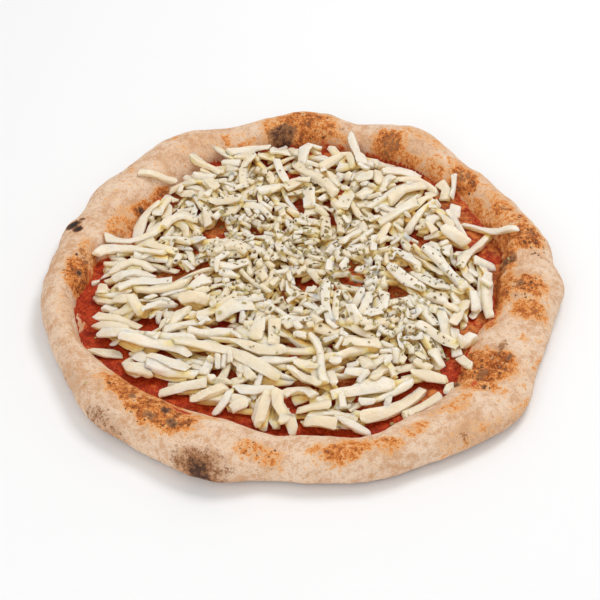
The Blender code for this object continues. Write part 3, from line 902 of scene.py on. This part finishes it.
def smooth_route(points, count):
    """This many evenly spaced points on a smooth curve through the given ones, and its length."""
    points = np.array(points, dtype=float)
    ends = np.vstack((2.0 * points[0] - points[1], points, 2.0 * points[-1] - points[-2]))
    share = np.linspace(0.0, 1.0, 12, endpoint=False)[:, None]
    curve = []
    for index in range(1, len(ends) - 2):
        before, first, second, after = ends[index - 1:index + 3]
        curve.append(0.5 * (
            2.0 * first + (second - before) * share
            + (2.0 * before - 5.0 * first + 4.0 * second - after) * share ** 2
            + (3.0 * first - before - 3.0 * second + after) * share ** 3))
    curve = np.vstack(curve + [points[-1:]])
    walked = np.concatenate(([0.0], np.cumsum(np.hypot(*np.diff(curve, axis=0).T))))
    evenly = np.linspace(0.0, walked[-1], count)
    return np.column_stack([np.interp(evenly, walked, curve[:, axis]) for axis in (0, 1)]), walked[-1]


def across_route(route):
    """The level unit vector to the left of the route at each of its points."""
    along = np.gradient(route, axis=0)
    along /= np.hypot(along[:, 0], along[:, 1])[:, None]
    return np.column_stack((-along[:, 1], along[:, 0]))


def resting_line(share, height):
    """A straight bar's height along its length when it lies on these heights, balanced at its middle."""
    best = (height.max(), 0.0)
    highest = -1.0
    for first in range(len(share)):
        for second in range(first + 1, len(share)):
            if share[first] > 0.5 or share[second] < 0.5:
                continue
            slope = (height[second] - height[first]) / (share[second] - share[first])
            middle = height[first] + slope * (0.5 - share[first])
            if middle > highest:
                highest = middle
                best = (middle, slope)
    return best[0] + best[1] * (share - 0.5)


def blurred(values, times):
    for _ in range(times):
        padded = np.concatenate((values[:1], values, values[-1:]))
        values = 0.25 * padded[:-2] + 0.5 * padded[1:-1] + 0.25 * padded[2:]
    return values


def pile_shred(ground, route, left, under, roll, length, width, thickness):
    """Raise the map to the shred's rounded top."""
    share = np.linspace(0.0, 1.0, len(route))
    dense = np.linspace(0.0, 1.0, max(8, int(length / 0.6)))
    offsets = np.linspace(-0.5, 0.5, 11)
    values = (*route.T, *left.T, under, roll)
    middle_x, middle_y, left_x, left_y, under, roll = [np.interp(dense, share, value) for value in values]
    x = middle_x[:, None] + left_x[:, None] * width * offsets
    y = middle_y[:, None] + left_y[:, None] * width * offsets
    crown = thickness * (1.0 - 0.5 * np.abs(2.0 * offsets) ** 4)
    ground.pile(x, y, under[:, None] + crown + np.tan(roll)[:, None] * width * offsets)


def rest_shred(ground, route, length, width, thickness, softness, steepness):
    """Lay a shred on the pile: the height of its underside and its roll at each point of its route."""
    left = across_route(route)
    rows = [route + left * width * offset for offset in (-TREAD, 0.0, TREAD)]
    heights = np.array([ground.height(row[:, 0], row[:, 1]) for row in rows])
    support = 0.7 * heights.max(axis=0) + 0.3 * heights.mean(axis=0) - SINK
    stiff = resting_line(np.linspace(0.0, 1.0, len(route)), support)
    draped = blurred(np.maximum(support, blurred(support, 5)), 3)
    under = stiff + (draped - stiff) * softness
    under = blurred(np.maximum(under, support - SINK), 2)
    steepest = steepness * length / (len(route) - 1)
    middle = len(route) // 2
    outward = [(index, index - 1) for index in range(middle + 1, len(route))]
    outward += [(index, index + 1) for index in range(middle - 1, -1, -1)]
    for index, inner in outward:
        under[index] = np.clip(under[index], under[inner] - steepest, under[inner] + steepest)
    cross = blurred((heights[2] - heights[0]) / (2.0 * TREAD * width), 3)
    roll = np.clip(np.arctan(cross) * ROLL_SHARE, -MOST_ROLL, MOST_ROLL)
    pile_shred(ground, route, left, under, roll, length, width, thickness)
    return under, roll


def slice_off(place, normal):
    """Slice away what lies beyond a plane, in edit mode, and close the cut."""
    bpy.ops.mesh.select_all(action="SELECT")
    bpy.ops.mesh.bisect(plane_co=place, plane_no=normal, use_fill=True, clear_outer=True)


def shave_sides(chance):
    """Slice the bar's long sides off unevenly all round."""
    first = chance.uniform(0.0, 2.0 * math.pi)
    for shaving in range(SHAVINGS):
        turn = first + 2.0 * math.pi * (shaving + chance.uniform(-0.3, 0.3)) / SHAVINGS
        reach = chance.uniform(*SHAVED_AT)
        slant = chance.uniform(-SHAVING_SLANT, SHAVING_SLANT)
        side = (math.cos(turn), math.sin(turn))
        slice_off((0.0, side[0] * reach, side[1] * reach), (slant, *side))


def cut_end(tip, side, pointed, chance):
    """Cut one end at a slant, and bring it to a point or, at times, break a corner off."""
    slant = [chance.uniform(-CUT_SLANT, CUT_SLANT) for _ in range(2)]
    slice_off((tip * 0.94, 0.0, 0.0), (side, *slant))
    if pointed:
        blunt = chance.uniform(*BLUNTNESS)
        for flank in (-1.0, 1.0):
            slope = chance.uniform(*POINT_SLANT)
            slice_off((tip, flank * blunt, 0.0), (side * slope, flank, chance.uniform(-0.3, 0.3)))
        slice_off((tip, 0.0, blunt), (side * chance.uniform(*POINT_SLANT), 0.0, 1.0))
    elif chance.random() < BROKEN_CORNERS:
        flank = chance.choice((-1.0, 1.0))
        normal = (side * chance.uniform(0.5, 1.2), flank, chance.uniform(-0.6, 0.6))
        slice_off((tip, 0.2 * flank, 0.0), normal)


def soften_edges():
    """Merge the smallest edges of the bar and bevel its sharp ones, in edit mode."""
    bpy.ops.mesh.select_all(action="SELECT")
    bpy.ops.mesh.remove_doubles(threshold=SMALLEST_EDGE)
    bpy.ops.mesh.select_mode(type="EDGE")
    bpy.ops.mesh.select_all(action="DESELECT")
    bpy.ops.mesh.edges_select_sharp(sharpness=math.radians(SHARP))
    bpy.ops.mesh.bevel(offset=EDGE_BEVEL, segments=1, affect="EDGES", clamp_overlap=True)


def shred_bar(bar_length, segments, ends, chance):
    """A straight shred one unit long, wide and thick, lying along X, and its points."""
    bpy.ops.object.select_all(action="DESELECT")
    bpy.ops.mesh.primitive_cube_add(size=1.0)
    bar = bpy.context.object
    bpy.ops.object.mode_set(mode="EDIT")
    bpy.ops.mesh.select_all(action="SELECT")
    bpy.ops.transform.resize(value=(bar_length, 1.0, 1.0), center_override=(0.0, 0.0, 0.0))
    shave_sides(chance)
    for side, end in zip((-1.0, 1.0), ends):
        cut_end(0.5 * bar_length * side, side, end == "p", chance)
    soften_edges()
    half = 0.5 * bar_length - END_RING
    for ring in np.linspace(-half, half, segments - 1):
        bpy.ops.mesh.select_all(action="SELECT")
        bpy.ops.mesh.bisect(plane_co=(ring, 0, 0), plane_no=(1, 0, 0))
    bpy.ops.mesh.select_all(action="SELECT")
    bpy.ops.mesh.remove_doubles(threshold=0.01)
    bpy.ops.transform.resize(value=(1.0 / bar_length, 1.0, 1.0), center_override=(0.0, 0.0, 0.0))
    bpy.ops.mesh.normals_make_consistent(inside=False)
    bpy.ops.object.mode_set(mode="OBJECT")
    return bar, points_of(bar) * MM


def bent_shred(points, route, under, roll, width, thickness, chance):
    """A straight shred's points moved onto its route, in millimetres."""
    share = points[:, 0] + 0.5
    at = np.linspace(0.0, 1.0, len(route))

    def spread(values):
        return np.column_stack([np.interp(share, at, values[:, axis]) for axis in range(3)])

    path = np.column_stack((route, under + 0.5 * thickness))
    along = np.gradient(path, axis=0)
    along /= np.linalg.norm(along, axis=1)[:, None]
    middle = spread(path)
    beside = spread(np.column_stack((across_route(route), np.zeros(len(route)))))
    up = np.cross(spread(along), beside)
    turned = np.interp(share, at, roll) + chance.uniform(-TWIST, TWIST) * (share - 0.5)
    across = beside * np.cos(turned)[:, None] + up * np.sin(turned)[:, None]
    above = up * np.cos(turned)[:, None] - beside * np.sin(turned)[:, None]
    phase = chance.uniform(0.0, 6.28)
    wide = width * (1.0 + WIDTH_WAVE * np.sin(phase + share * chance.uniform(2.0, 6.0)))
    thick = thickness * (1.0 + WIDTH_WAVE * np.sin(1.7 * phase + share * chance.uniform(2.0, 7.0)))
    flip = chance.choice((-1.0, 1.0))
    bent = middle + across * (points[:, 1] * wide)[:, None]
    bent += above * (points[:, 2] * thick * flip)[:, None]
    rough = np.array([noise.noise_vector(Vector(point) * ROUGH_SCALE) for point in bent.tolist()])
    return bent + ROUGHNESS * rough


def copy_shape(shape, points, tint):
    """A copy of the shape with its own mesh, its points in these places and its own tint."""
    copy = bpy.data.objects.new("copy", shape.data.copy())
    bpy.context.scene.collection.objects.link(copy)
    put_points(copy, points)
    write_attribute(copy, "tint", np.full(len(points), tint))
    return copy


def heap_edge():
    """The cheese's outline: a radius for each angle, taken from the heap's solid."""
    angle, radius = polar(points_of(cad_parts["mozzarella_heap"]))
    steps = np.arange(0.0, 360.0, 5.0)
    edge = np.array([radius[np.abs(turn_from(step, angle)) < 4.0].max() for step in steps])
    for middle, reach, half_width in EDGE_SWELLS:
        edge = edge + reach * swell(middle, half_width, steps)
    return lambda turn: np.interp(turn % 360.0, np.append(steps, 360.0), np.append(edge, edge[0]))


def covers_open(route):
    """The share of the route that lies in places to be left open."""
    spots = np.array(OPEN_PLACES)
    reach = np.hypot((route[:, :1] - spots[:, 0]) / (spots[:, 2] + OPEN_MARGIN),
                     (route[:, 1:] - spots[:, 1]) / (spots[:, 3] + OPEN_MARGIN))
    return (reach.min(axis=1) < 1.0).mean()


def random_route(chance, edge):
    """Four points along a slightly bowed shred at a random place within the heap."""
    turn = chance.uniform(0.0, 360.0)
    reach = float(edge(turn)) * math.sqrt(chance.random()) * 0.97
    x = reach * math.cos(math.radians(turn))
    y = reach * math.sin(math.radians(turn))
    weights = [math.exp(-math.hypot(x - spot[0], y - spot[1]) / LIE_REACH) for spot in LIE]
    lie = chance.choices(LIE, weights)[0]
    heading = math.radians(chance.gauss(lie[2], lie[3]))
    length = max(SHORTEST_LOOSE, chance.gauss(lie[4], LENGTH_SPREAD))
    bow = chance.gauss(0.0, BOW_SPREAD)
    ahead = np.array((math.cos(heading), math.sin(heading)))
    aside = np.array((-ahead[1], ahead[0]))
    place = np.array((x, y))
    return [place + ahead * length * share + aside * length * bow * (0.25 - share * share)
            for share in (-0.5, -0.17, 0.17, 0.5)]


class CheesePile:
    """The cheese as it is laid: the heights so far, and the straight shreds that are copied."""

    def __init__(self, below):
        self.chance = random.Random(SEED)
        self.ground = HeightMap(below)
        self.edge = heap_edge()
        self.material = cheese_material()
        self.bars = {}

    def lay(self, points, width, thickness, ends, softness, steepness):
        """Lay one shred along a curve through the points and return it."""
        route, length = smooth_route(points, SHRED_STATIONS)
        _, segments, bar_length = next(bar for bar in BARS if length < bar[0])
        kind = (segments, ends, self.chance.randrange(KINDS))
        if kind not in self.bars:
            self.bars[kind] = shred_bar(bar_length, segments, ends, self.chance)
        bar, straight = self.bars[kind]
        under, roll = rest_shred(self.ground, route, length, width, thickness, softness, steepness)
        bent = bent_shred(straight, route, under, roll, width, thickness, self.chance)
        return copy_shape(bar, bent, self.chance.random())

    def usual_thickness(self, width):
        return min(SHRED_THICKNESS, 0.64 * width) * self.chance.uniform(0.85, 1.15)

    def neediest_route(self):
        """The best of several random routes, and how much the pile lacks there."""
        best = None
        for _ in range(LOOSE_TRIES):
            points = random_route(self.chance, self.edge)
            route, _ = smooth_route(points, SHRED_STATIONS)
            angle, radius = polar(route)
            share = radius / self.edge(angle)
            if share.max() > 1.02:
                continue
            wanted = SAUCE_TOP + EDGE_DEPTH + (MIDDLE_DEPTH - EDGE_DEPTH) * (1.0 - share ** 2.5)
            lack = np.clip(wanted - self.ground.height(route[:, 0], route[:, 1]), -3.0, 5.0).mean()
            lack -= OPEN_PENALTY * covers_open(route)
            if best is None or lack > best[0]:
                best = (lack, points)
        return best

    def lay_loose(self):
        laid = []
        for _ in range(LOOSE_SHREDS):
            best = self.neediest_route()
            if best is None or best[0] < LEAST_LACK:
                continue
            ends = self.chance.choices(("cc", "cp", "pp"), ENDS_SHARES)[0]
            width = self.chance.uniform(*LOOSE_WIDTH)
            laid.append(self.lay(best[1], width, self.usual_thickness(width), ends, 0.6, STEEPNESS))
        return laid

    def lay_by_hand(self):
        laid = []
        for width, ends, *points in LAID_SHREDS:
            if ends == "pc":
                points = points[::-1]
                ends = "cp"
            width *= LAID_WIDTH
            laid.append(self.lay(points, width, self.usual_thickness(width), ends, 0.8, STEEPNESS))
        return laid

    def lay_strays(self):
        return [self.lay(points, width, thickness, ends, 1.0, 1.3)
                for _, width, thickness, ends, *points in STRAY_SHREDS]

    def lay_bits(self):
        chance = self.chance
        laid = []
        for x, y, half_width, half_depth, count in BIT_PLACES:
            for _ in range(count):
                tries = [(x + half_width * chance.gauss(0, 0.6), y + half_depth * chance.gauss(0, 0.6))
                         for _ in range(BIT_TRIES)]
                middle = np.array(min(tries, key=lambda spot: self.ground.height(*np.array(spot))))
                angle, radius = polar(middle[None, :])
                if radius[0] > self.edge(angle[0]) - BIT_MARGIN or covers_open(middle[None, :]):
                    continue
                heading = chance.uniform(0.0, math.pi)
                reach = np.array((math.cos(heading), math.sin(heading))) * chance.uniform(*BIT_HALF_LENGTH)
                width = chance.uniform(*BIT_WIDTH)
                laid.append(self.lay([middle - reach, middle + reach], width, 0.66 * width, "cc", 0.4, 0.6))
        laid.append(self.lay(LONE_BIT, 3.0, 2.2, "cp", 1.0, 1.0))
        return laid

    def joined(self, name, copies):
        """One piece of these shreds, painted yellower the deeper they lie in the pile, as painted shade."""
        select_only(*copies)
        if len(copies) > 1:
            bpy.ops.object.join()
        piece = bpy.context.object
        piece.name = name
        points = points_of(piece)
        # How far each point lies below the pile's top, for the painted shade.
        buried = self.ground.height(points[:, 0], points[:, 1]) - points[:, 2]
        write_attribute(piece, "depth_shade", np.clip(buried / DEEP, 0.0, 1.0))
        bpy.ops.object.shade_smooth_by_angle(angle=math.radians(SMOOTH_UP_TO))
        set_material(piece, self.material)
        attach(piece, "root")
        return piece


def make_cheese(below):
    """The shreds and bits, from the bottom of the heap to the top."""
    pile = CheesePile(below)
    lower = pile.lay_loose()
    upper = pile.lay_by_hand()
    strays = pile.lay_strays()
    bits = pile.lay_bits()
    for bar, _ in pile.bars.values():
        bpy.data.objects.remove(bar)
    heap = pile.joined("mozzarella_lower_shreds", lower)
    top = pile.joined("mozzarella_top_shreds", upper)
    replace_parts(heap, "mozzarella_heap")
    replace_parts(top, "mozzarella_heap")
    crumbled = pile.joined("mozzarella_bits", bits)
    for (node, *_), stray in zip(STRAY_SHREDS, strays):
        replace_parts(pile.joined(node.replace("stray_", "lone_"), [stray]), node)
    return heap, top, crumbled


# Oregano.

def oregano_material():
    material, tree, shader = new_material("dried_oregano")
    fine = grain(tree, object_place(tree), 1500.0)
    tint = wavered(tree, attribute(tree, "tint"), (fine, 0.5))
    color = blended(tree, tint, 0.0, 0.6, OREGANO_COLORS)
    color = layered(tree, color, tint, OREGANO_LAYERS)
    finish_shader(tree, shader, color, 0.8, ((fine, 0.0001, 0.5),))
    return material


def flake_shape():
    """A thin six-sided scrap of leaf, one unit across, lying flat, and its points."""
    bpy.ops.object.select_all(action="DESELECT")
    bpy.ops.mesh.primitive_circle_add(vertices=6, radius=0.5, fill_type="NGON")
    flake = bpy.context.object
    bpy.ops.object.mode_set(mode="EDIT")
    bpy.ops.mesh.select_all(action="SELECT")
    bpy.ops.mesh.extrude_region_move(TRANSFORM_OT_translate={"value": (0.0, 0.0, FLAKE_THICKNESS)})
    bpy.ops.mesh.inset(thickness=0.16)
    bpy.ops.transform.translate(value=(0.0, 0.0, 0.4 * FLAKE_THICKNESS))
    bpy.ops.mesh.select_all(action="SELECT")
    bpy.ops.mesh.normals_make_consistent(inside=False)
    bpy.ops.object.mode_set(mode="OBJECT")
    return flake, points_of(flake) * MM


def curled_flake(flat, place, normal, chance):
    """The flat flake's points grown, curled, turned and laid on the surface, in millimetres."""
    size = chance.triangular(*FLAKE_SIZE)
    lean = Vector((chance.gauss(0.0, FLAKE_LEAN), chance.gauss(0.0, FLAKE_LEAN), 0.0))
    turn = (normal + lean).to_track_quat("Z", "Y").to_matrix()
    spin = chance.uniform(0.0, 6.28)
    slim = chance.uniform(0.4, 1.0)
    curl = chance.uniform(-0.5, 0.9)
    points = []
    for x, y, z in flat.tolist():
        x *= size * chance.uniform(0.75, 1.25)
        y *= size * slim * chance.uniform(0.75, 1.25)
        z = z * size + curl * (x * x) / size
        spun = Vector((x * math.cos(spin) - y * math.sin(spin), x * math.sin(spin) + y * math.cos(spin), z))
        points.append(place / MM + turn @ spun)
    return np.array(points)


def sprinkle_oregano(below):
    chance = random.Random(SEED + 1)
    surfaces = [surface_of(piece) for piece in below]
    flake, flat = flake_shape()
    copies = []
    for x, y, half_width, half_depth, count in OREGANO_PLACES:
        for _ in range(count):
            fall_x = x + half_width * chance.gauss(0.0, 0.62)
            fall_y = y + half_depth * chance.gauss(0.0, 0.62)
            start = Vector((fall_x, fall_y, ABOVE_ALL)) * MM
            hits = [surface.ray_cast(start, DOWN) for surface in surfaces]
            hits = [hit for hit in hits if hit[0] is not None]
            if not hits:
                continue
            place, normal = max(hits, key=lambda hit: hit[0].z)[:2]
            points = curled_flake(flat, place, normal, chance)
            copies.append(copy_shape(flake, points, chance.random()))
    bpy.data.objects.remove(flake)
    select_only(*copies)
    bpy.ops.object.join()
    herbs = bpy.context.object
    herbs.name = "oregano_flakes"
    set_material(herbs, oregano_material())
    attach(herbs, "root")


# Camera, light and floor.

def make_camera():
    data = bpy.data.cameras.new("camera")
    data.lens = CAMERA_LENS
    camera = bpy.data.objects.new("camera", data)
    rise = math.radians(CAMERA_ELEVATION)
    back = Vector((0.0, -math.cos(rise), math.sin(rise))) * CAMERA_DISTANCE
    camera.location = Vector(CAMERA_AIM) * MM + back
    camera.rotation_euler = (0.5 * math.pi - rise, 0.0, 0.0)
    bpy.context.scene.collection.objects.link(camera)
    bpy.context.scene.camera = camera


def add_light(name, place, size, power):
    """A round light turned towards the middle of the pizza."""
    data = bpy.data.lights.new(name, "AREA")
    data.shape = "DISK"
    data.size = size
    data.energy = power
    light = bpy.data.objects.new(name, data)
    light.location = place
    light.rotation_euler = (-Vector(place)).to_track_quat("-Z", "Y").to_euler()
    bpy.context.scene.collection.objects.link(light)


def make_studio():
    bpy.ops.mesh.primitive_plane_add(size=FLOOR_SIZE, location=(0.0, 0.0, 0.0))
    floor = bpy.context.object
    floor.name = "floor"
    material, _, shader = new_material("pale_floor")
    shader.inputs["Base Color"].default_value = (0.9, 0.9, 0.9, 1.0)
    shader.inputs["Roughness"].default_value = 0.9
    floor.data.materials.append(material)
    world = bpy.data.worlds.new("studio")
    world.use_nodes = True
    background = world.node_tree.nodes["Background"]
    background.inputs["Color"].default_value = (1.0, 1.0, 1.0, 1.0)
    background.inputs["Strength"].default_value = WORLD_STRENGTH
    bpy.context.scene.world = world
    for light in LIGHTS:
        add_light(*light)
    bpy.context.scene.view_settings.view_transform = "Standard"


noise.seed_set(SEED)
make_camera()
make_studio()
crust = make_crust()
sauce = make_sauce(crust)
cheese_pieces = make_cheese([crust, sauce])
sprinkle_oregano([crust, sauce, *cheese_pieces])
